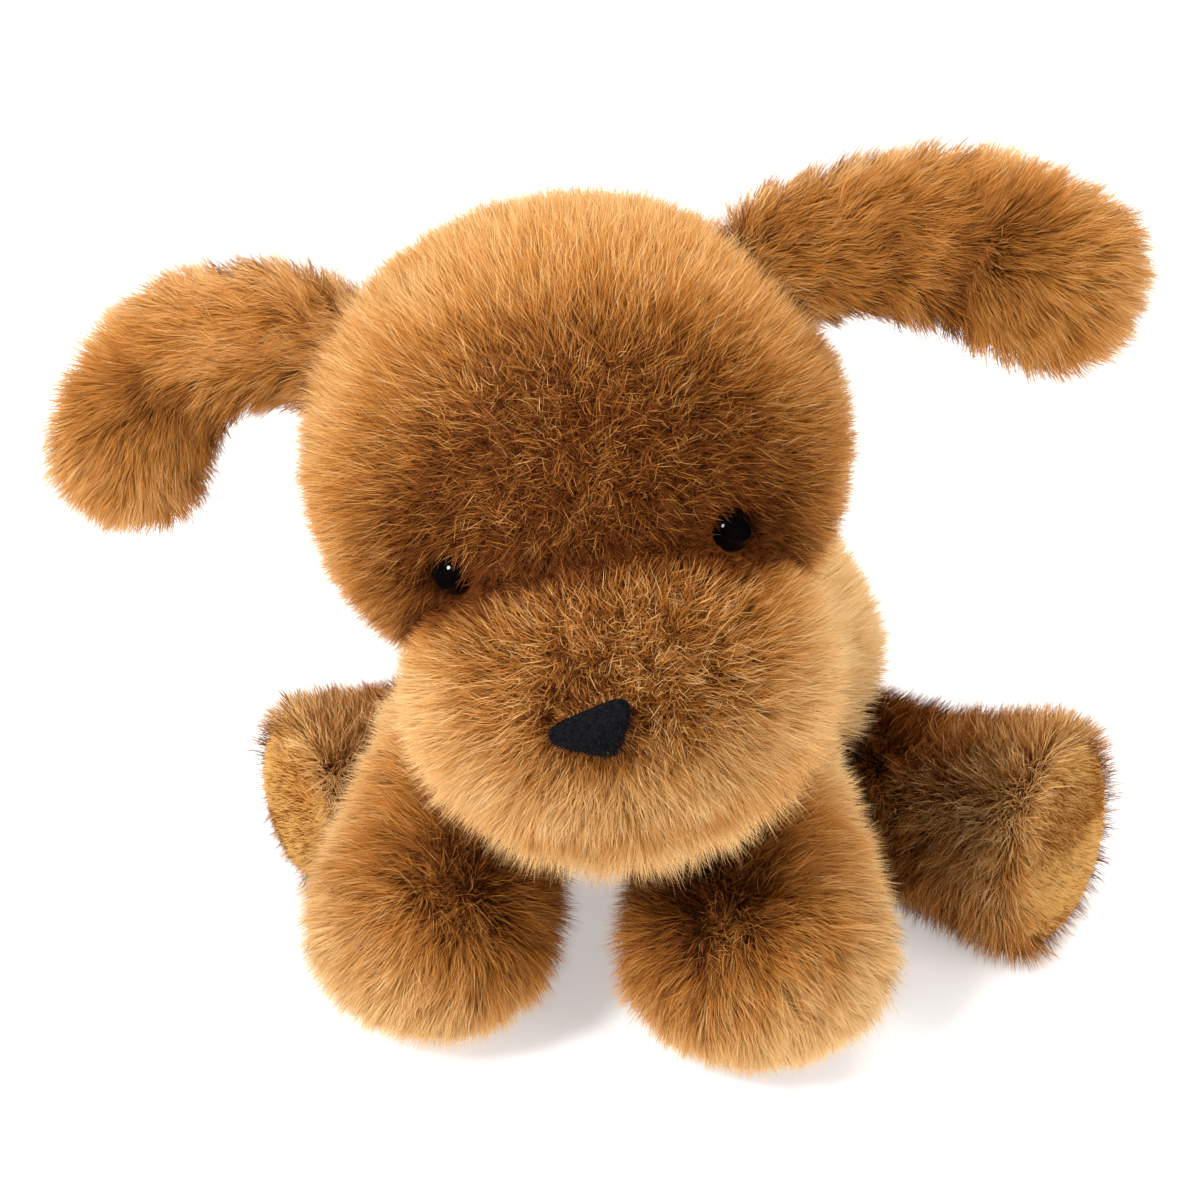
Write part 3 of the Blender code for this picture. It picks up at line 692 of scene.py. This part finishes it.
def ribbons(rng, path, n, width, tone, normal_mix=0.3):
    """Tapered ribbons along the paths: points, normals, corner list, face sizes and UVs."""
    count, points_each, _ = path.shape
    steps = points_each - 1
    way = unit(path[:, -1] - path[:, 0])
    across = unit(np.cross(way, n) + rng.normal(size=(count, 3)) * 0.05)
    roll = rng.normal(size=(count, 1)) * 0.6
    across = unit(across * np.cos(roll) + np.cross(way, across) * np.sin(roll))
    facing = unit(np.cross(across, way))
    facing *= np.sign(dot(facing, n) + 1e-9)
    shade = unit(n * (1 - normal_mix) + facing * normal_mix + way * 0.25)
    taper = np.linspace(1.0, 0.72, steps)
    rows = []
    for i in range(steps):
        half = across * (width * taper[i] / 2)[:, None]
        rows += [path[:, i] - half, path[:, i] + half]
    rows.append(path[:, -1])
    each = 2 * steps + 1
    points = np.stack(rows, axis=1)
    corners, sizes = [], []
    for i in range(steps - 1):
        corners += [2 * i, 2 * i + 1, 2 * i + 3, 2 * i + 2]
        sizes.append(4)
    corners += [2 * steps - 2, 2 * steps - 1, 2 * steps]
    sizes.append(3)
    level = [min(k // 2, steps) / steps for k in range(each)]
    lateral = [(-1 if k % 2 == 0 else 1) for k in range(each - 1)] + [0]
    corner_list = (np.arange(count)[:, None] * each + np.array(corners)[None]).ravel()
    face_sizes = np.tile(sizes, count)
    u = np.clip(tone, 0.01, 0.99)[:, None] + np.array(lateral)[corners][None] * 0.004
    v = np.broadcast_to(0.005 + 0.99 * np.array(level)[corners][None], u.shape)
    uvs = np.stack([u, v], axis=2).reshape(-1, 2)
    normals = np.repeat(shade, each, axis=0)
    return points.reshape(-1, 3), normals, corner_list, face_sizes, uvs


def build_mesh(name, parts, material):
    """One mesh from parts of (points in mm, normals, corner list, face sizes, UVs)."""
    data = bpy.data.meshes.new(name)
    offset, corners = 0, []
    for points, _, corner_list, _, _ in parts:
        corners.append(corner_list + offset)
        offset += len(points)
    points = np.concatenate([part[0] for part in parts]).astype(np.float32) * MM
    normals = np.concatenate([part[1] for part in parts]).astype(np.float32)
    corners = np.concatenate(corners).astype(np.int32)
    sizes = np.concatenate([part[3] for part in parts]).astype(np.int32)
    uvs = np.concatenate([part[4] for part in parts]).astype(np.float32)
    data.vertices.add(len(points))
    data.vertices.foreach_set("co", points.ravel())
    data.loops.add(len(corners))
    data.loops.foreach_set("vertex_index", corners)
    data.polygons.add(len(sizes))
    data.polygons.foreach_set("loop_start", np.concatenate([[0], np.cumsum(sizes)[:-1]]).astype(np.int32))
    layer = data.uv_layers.new(name="OFBake")
    layer.data.foreach_set("uv", uvs.ravel())
    data.update(calc_edges=True)
    custom = data.attributes.new("custom_normal", "FLOAT_VECTOR", "POINT")
    custom.data.foreach_set("vector", normals.ravel())
    data.materials.append(material)
    obj = bpy.data.objects.new(name, data)
    bpy.context.scene.collection.objects.link(obj)
    return obj


def cloth_patch(skin, chosen, tone):
    """The knitted backing under one panel's pile: the skin's triangles, given a thickness.

    It is pale beside another body, where the pile parts, so that no dark line shows round a limb's root.
    """
    triangles = skin["triangles"][chosen]
    used, corner = np.unique(triangles, return_inverse=True)
    corner = corner.reshape(-1, 3)
    outer, normals = skin["points"][used], skin["normals"][used]
    points = np.concatenate([outer, outer - normals * CLOTH_THICKNESS])
    both = np.concatenate([normals, -normals])
    edges = np.concatenate([corner[:, [0, 1]], corner[:, [1, 2]], corner[:, [2, 0]]])
    _, first, count = np.unique(np.sort(edges, axis=1), axis=0, return_index=True, return_counts=True)
    rim = edges[first[count == 1]]
    inner = len(outer)
    faces = np.concatenate([corner, corner[:, ::-1] + inner]).ravel()
    walls = np.stack([rim[:, 1], rim[:, 0], rim[:, 0] + inner, rim[:, 1] + inner], axis=1).ravel()
    corners = np.concatenate([faces, walls])
    sizes = np.concatenate([np.full(len(faces) // 3, 3), np.full(len(walls) // 4, 4)])
    near = np.tile(1 - rise(skin["outside"][used], 9.0, 16.0), 2)
    u = np.clip(tone + 0.50 * near + 0.04 * waves(points, 2.0, 3), 0.01, 0.99)[corners]
    uvs = np.stack([u, 0.02 + 0.60 * near[corners]], axis=1)
    return points, both, corners, sizes, uvs


def coat(rng, body, panel, triangles, weight, density, under):
    """The strands of one panel. The undercoat is short; the pile over it bends and lies in locks."""
    skin = skins[body]
    sole = panel.endswith("_sole")
    face, share = scatter(rng, skin["points"], triangles, weight, density)
    p = spread_over(skin["points"], triangles, face, share)
    if body == "head":
        bare = under_eye(p)
        face, share, p = face[~bare], share[~bare], p[~bare]
    n = unit(spread_over(skin["normals"], triangles, face, share))
    outside = spread_over(skin["outside"], triangles, face, share)
    borders = spread_over(skin["borders"], triangles, face, share)
    flow, lean, length, tone, mess = pile_of(body, p, n, np.full(len(p), panel), borders)
    width = PILE_WIDTH * 1.0 * rng.uniform(0.7, 1.2, len(p))
    if sole:
        flow = vector_waves(p, 40.0, 61)
        length, lean, tone, mess = (np.full(len(p), value) for value in (SOLE_LENGTH, 24.0, 0.90, 0.3))
    # Torso and ear pile is made lighter where another body is near: painted light that fills the shade where they
    # meet.
    if body == "torso" or body in EARS:
        tone = tone + 0.22 * (1 - rise(outside, 8.0, 14.0))
    bright = 0.32 * (rng.random(len(p)) < 0.22) * (0.4 + 1.6 * mess)
    tone = tone + 0.05 * waves(p, 16.0, 41) + 0.06 * waves(p, 3.6, 43)
    tone = tone + rng.normal(size=len(p)) * (0.08 + 0.10 * mess)
    length = length * rng.uniform(0.74, 1.08, len(p)) * (0.50 + 0.50 * rise(outside, -5.0, 3.0))
    length = length * (1 + 0.07 * waves(p, 6.0, 31))
    if under:
        length, tone, width = length * UNDER_SHARE, tone - 0.06 - 0.4 * (mess - 0.12), width * 1.1
    path = strand_paths(rng, p, n, flow, lean, length, mess, 1 if under else 2)
    if not under:
        path = gather_locks(rng, path, 0.07, 0.10 + 0.85 * mess)
        tone = tone + bright
    path[:, :, 2] = np.maximum(path[:, :, 2], FLOOR_CLEAR + 0.5 * rng.random(len(p))[:, None])
    return ribbons(rng, path, n, width, tone)


def piece_name(panel):
    if panel.endswith("_sole"):
        return panel + "_pile"
    return panel.rsplit("_", 1)[0] + ("_top_fur" if panel.endswith("_gusset") else "_fur")


def pile_weight(skin, triangles):
    """The share of the full density on each triangle: none inside another body, and less underneath."""
    weight = rise(skin["outside"][triangles].mean(axis=1), -7.0, -3.0)
    facing_down = rise(-skin["normals"][triangles].mean(axis=1)[:, 2], 0.55, 0.9)
    low = skin["points"][triangles][:, :, 2].mean(axis=1) < 12
    return weight * (1 - 0.55 * facing_down * low)


# A strand has 3 triangles in the long pile and 1 in the undercoat, and a skin triangle's cloth has up to 4.
for number, (body, skin) in enumerate(skins.items()):
    for index, panel in enumerate(skin["panels"]):
        rng = np.random.default_rng(1000 + 37 * number + index)
        chosen = skin["label"] == index
        triangles = skin["triangles"][chosen]
        weight = pile_weight(skin, triangles)
        sole = panel.endswith("_sole")
        scale = (1.6 if sole or body in EARS else 1.0) * 1.0
        covered = (triangle_areas(skin["points"], triangles) * weight).sum()
        expected = covered * scale * (3 * PILE_DENSITY + UNDER_DENSITY) + 4 * len(triangles)
        scale *= min(1.0, MOST_TRIANGLES / expected)
        over = coat(rng, body, panel, triangles, weight, PILE_DENSITY * scale, False)
        under = coat(rng, body, panel, triangles, weight, UNDER_DENSITY * scale, True)
        cloth = cloth_patch(skin, chosen, 0.9 if sole else 0.35)
        obj = build_mesh(piece_name(panel), [cloth, over, under], SOLE if sole else FUR)
        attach(obj, body)
        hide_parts(panel)

# ---------------------------------------------------------------- eyes, washers, nose


def turned_piece(name, place, axis, profile, spans, material):
    """A profile of (radius, height) carried round an axis from a place, closed at both ends."""
    axis = Vector(axis).normalized()
    first = axis.orthogonal().normalized()
    second = axis.cross(first)
    mesh = bmesh.new()
    rows = []
    for radius, height in profile:
        row = []
        for i in range(spans):
            angle = 2 * math.pi * i / spans
            offset = first * math.cos(angle) * radius + second * math.sin(angle) * radius
            row.append(mesh.verts.new((Vector(place) + axis * height + offset) * MM))
        rows.append(row)
    for low, high in zip(rows, rows[1:]):
        for i in range(spans):
            j = (i + 1) % spans
            mesh.faces.new((low[i], low[j], high[j], high[i]))
    mesh.faces.new(rows[0][::-1])
    mesh.faces.new(rows[-1])
    return finish_piece(mesh, name, material)


def finish_piece(mesh, name, material, smooth_angle=38):
    """An object of a bmesh, smooth except at edges sharper than that angle in degrees."""
    bmesh.ops.recalc_face_normals(mesh, faces=mesh.faces)
    data = bpy.data.meshes.new(name)
    mesh.to_mesh(data)
    mesh.free()
    data.materials.append(material)
    for polygon in data.polygons:
        polygon.use_smooth = True
    data.set_sharp_from_angle(angle=math.radians(smooth_angle))
    obj = bpy.data.objects.new(name, data)
    bpy.context.scene.collection.objects.link(obj)
    return obj


EYE_STEM = 1.5
EYE_RIDGE = 1.65


def eye_profile():
    """A safety eye's outline from the tip of its ridged stem, over its flange, to the top of its dome."""
    profile = [(0.3, -13.8), (0.9, -13.4), (EYE_STEM, -12.6)]
    for i in range(8):
        profile += [(EYE_STEM, -12.0 + i), (EYE_RIDGE, -11.7 + i), (EYE_STEM, -11.4 + i)]
    profile += [(1.6, -2.6), (4.2, -1.5), (4.9, -0.9), (5.15, -0.3)]
    for angle in np.radians(np.linspace(3, 88.5, 16)):
        profile.append((EYE_RADIUS * math.cos(angle), EYE_RADIUS * math.sin(angle)))
    return profile


for eye_name, (apex, axis) in EYE_PLACES.items():
    place = apex - axis * EYE_RADIUS
    eye = turned_piece(eye_name + "_dome", place, axis, eye_profile(), 40, EYE_PLASTIC)
    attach(eye, "head")
    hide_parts(eye_name)

for side in ("left", "right"):
    frame["nodes"]["eye_washer_" + side].data.materials.clear()
    frame["nodes"]["eye_washer_" + side].data.materials.append(WASHER_PLASTIC)

NOSE_SPANS = 64
nose_mesh = bmesh.new()
nose_rows = []
# Each row of the nose has a share of its radius, and a place ahead where it isn't on the crowned front.
RIM_SHARE = 0.999
nose_profile = [(RIM_SHARE * 0.86, nose_back + 0.6), (RIM_SHARE * 0.97, nose_back + 1.6)]
nose_profile += [(RIM_SHARE, nose_rim)]
nose_profile += [(s, None) for s in (RIM_SHARE, 0.96, 0.88, 0.78, 0.66, 0.54, 0.42, 0.30, 0.18, 0.08)]
for share, depth in nose_profile:
    row = []
    for i in range(NOSE_SPANS):
        side, ahead, up = nose_surface(share, 2 * math.pi * i / NOSE_SPANS)
        row.append(nose_mesh.verts.new(Vector(from_head(side, ahead if depth is None else depth, up)) * MM))
    nose_rows.append(row)
for low_row, high_row in zip(nose_rows, nose_rows[1:]):
    for i in range(NOSE_SPANS):
        j = (i + 1) % NOSE_SPANS
        nose_mesh.faces.new((low_row[i], low_row[j], high_row[j], high_row[i]))
nose_mesh.faces.new(nose_rows[0][::-1])
nose_mesh.faces.new(nose_rows[-1])
nose_pad = finish_piece(nose_mesh, "nose_pad", NOSE_FELT, 60)
nose_shell, nose_normals, nose_triangles = mesh_arrays(nose_pad.data)
rng = np.random.default_rng(77)
ahead_of_rim = in_head(nose_shell)[nose_triangles][:, :, 1].mean(axis=1) > nose_rim
face, share = scatter(rng, nose_shell, nose_triangles, ahead_of_rim * 1.0, 9.0)
p = spread_over(nose_shell, nose_triangles, face, share)
n = unit(spread_over(nose_normals, nose_triangles, face, share))
flow, lean, length, tone, mess = rest_of(p, -HEAD_UP, 55, 1.1, rng.uniform(0, 1, len(p)) ** 3, 0.5)
fuzz_paths = strand_paths(rng, p, n, flow, lean, length, mess, 1)
fuzz = build_mesh("nose_fuzz", [ribbons(rng, fuzz_paths, n, np.full(len(p), 0.12), tone)], NOSE_FUZZ)
for obj in (nose_pad, fuzz):
    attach(obj, "head")
    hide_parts("nose")

# ---------------------------------------------------------------- fill and pouch


def lumpy(node, name, material, voxel, lump, size, seed):
    """Loose fill or filled cloth in the space of a CAD node, pressed into soft lumps, never outside it."""
    points, normals, triangles = rounded_shell([node], voxel, 3)
    shape = lump * (0.5 + 0.5 * waves(points, size, seed))
    shape = shape + lump * 0.35 * (0.5 + 0.5 * waves(points, size * 0.35, seed + 3))
    points = points - normals * np.clip(shape, 0, lump * 1.5)[:, None]
    data = bpy.data.meshes.new(name)
    data.from_pydata((points * MM).tolist(), [], triangles.tolist())
    for polygon in data.polygons:
        polygon.use_smooth = True
    data.materials.append(material)
    obj = bpy.data.objects.new(name, data)
    bpy.context.scene.collection.objects.link(obj)
    return obj


for body, nodes in BODIES.items():
    for node in nodes:
        if not (node.endswith("stuffing") or node == "bean_pouch"):
            continue
        pouch = node == "bean_pouch"
        obj = lumpy(
            node,
            node.replace("stuffing", "fibre") if not pouch else "pellet_pouch",
            POUCH_CLOTH if pouch else FIBREFILL,
            1.4 if pouch else 2.0,
            0.9 if pouch else 1.6,
            3.2 if pouch else 11.0,
            60 + len(node),
        )
        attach(obj, body)
        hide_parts(node)

# ---------------------------------------------------------------- floor, light, camera, all in metres

floor_mesh = bmesh.new()
bmesh.ops.create_grid(floor_mesh, x_segments=1, y_segments=1, size=12.0)
PALE_FLOOR = spotted_material(
    "pale_floor", (0.90, 0.90, 0.90), (0.93, 0.93, 0.93), 0.4, 0.9, specular=0.1
)
floor_shader = next(n for n in PALE_FLOOR.node_tree.nodes if n.type == "BSDF_PRINCIPLED")
floor_shader.inputs["Emission Color"].default_value = (1.0, 1.0, 1.0, 1.0)
floor_shader.inputs["Emission Strength"].default_value = 0.42
floor = finish_piece(floor_mesh, "floor", PALE_FLOOR)
floor.visible_glossy = False


def soft_light(name, place, target, size, power, gleams=False):
    light = bpy.data.lights.new(name, "AREA")
    light.shape = "DISK"
    light.size = size
    light.energy = power
    obj = bpy.data.objects.new(name, light)
    obj.location = place
    obj.rotation_euler = (Vector(target) - Vector(place)).to_track_quat("-Z", "Y").to_euler()
    obj.visible_glossy = gleams
    bpy.context.scene.collection.objects.link(obj)


HEAD_M = Vector(HEAD_MIDDLE) * MM
soft_light("key", (-0.75, -0.70, 1.15), HEAD_M, 0.40, 20, True)
soft_light("fill", (0.95, -0.75, 0.70), HEAD_M, 0.8, 5)
soft_light("back", (0.45, 0.65, 1.20), HEAD_M, 0.8, 11)

world = bpy.data.worlds.new("studio")
world.use_nodes = True
world.node_tree.nodes["Background"].inputs["Color"].default_value = (1.0, 1.0, 1.0, 1.0)
world.node_tree.nodes["Background"].inputs["Strength"].default_value = 0.65
bpy.context.scene.world = world
world.cycles_visibility.glossy = False
bpy.context.scene.view_settings.view_transform = "Standard"

camera = bpy.data.cameras.new("camera")
camera.sensor_width = 36.0
camera.lens = 110.87
camera_object = bpy.data.objects.new("camera", camera)
camera_object.location = (0.0, -0.7138, 0.6240)
camera_object.rotation_euler = (math.radians(53.0), 0.0, 0.0)
bpy.context.scene.collection.objects.link(camera_object)
bpy.context.scene.camera = camera_object
